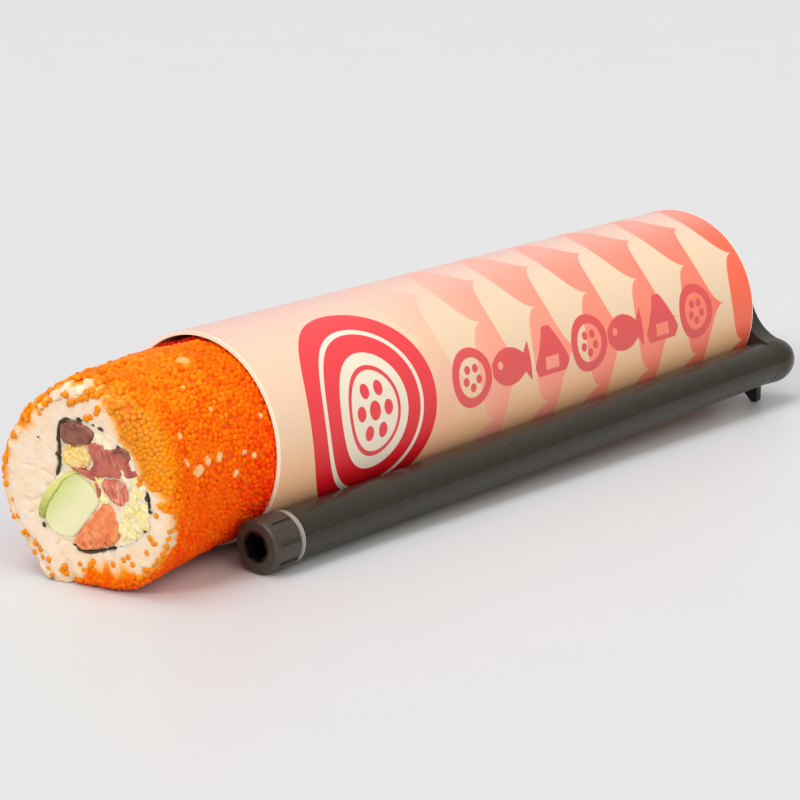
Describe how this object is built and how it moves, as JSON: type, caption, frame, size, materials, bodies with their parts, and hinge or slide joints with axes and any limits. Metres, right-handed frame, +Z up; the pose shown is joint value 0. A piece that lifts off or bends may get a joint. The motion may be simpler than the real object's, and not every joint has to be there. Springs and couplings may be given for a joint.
{
  "type": "push-up tube of spicy tuna sushi roll",
  "caption": "Card tube holding a long inside-out spicy tuna sushi roll coated in orange roe, pushed out at one end, with its black plastic push stick alongside.",
  "frame": {"origin": "middle of the footprint's bounding box, at the height of the surface it lies on", "axes": "+X runs along the tube from its open mouth to its closed back, so the roll comes out towards -X; +Z is up; the push stick lies on the -Y side"},
  "size_m": [0.2462, 0.0592, 0.0498],
  "materials": {
    "printed_card": "satin coated card printed in cream, pink and red",
    "rice_and_roe": "moist white rice coated with glossy orange fish roe",
    "nori": "dark green-black seaweed sheet, moist",
    "tuna_dark": "raw tuna, dark, moist",
    "tuna_pale": "raw tuna, pink, moist",
    "tuna_flakes": "flaked spicy tuna, moist",
    "crunch": "yellow fried batter crumb, dry",
    "pale_crunch": "pale fried batter crumb in sauce",
    "cucumber": "cut cucumber, pale green, wet",
    "cucumber_skin": "cucumber skin, green, wet",
    "salmon": "raw salmon, orange with pale lines, moist",
    "black_plastic": "satin black moulded plastic",
    "pale_seal": "light grey soft ring"
  },
  "bodies": {
    "root": {"card_tube": "printed_card", "rice_with_roe": "rice_and_roe", "nori": "nori", "tuna_dark": "tuna_dark", "tuna_pale": "tuna_pale", "tuna_flakes": "tuna_flakes", "crunch_nugget": "crunch", "crunch_side": "pale_crunch", "crunch_core": "pale_crunch", "cucumber_flesh": "cucumber", "cucumber_skin": "cucumber_skin", "salmon": "salmon", "push_stick": "black_plastic", "stick_cap": "black_plastic", "stick_seal": "pale_seal"}
  },
  "joints": []
}
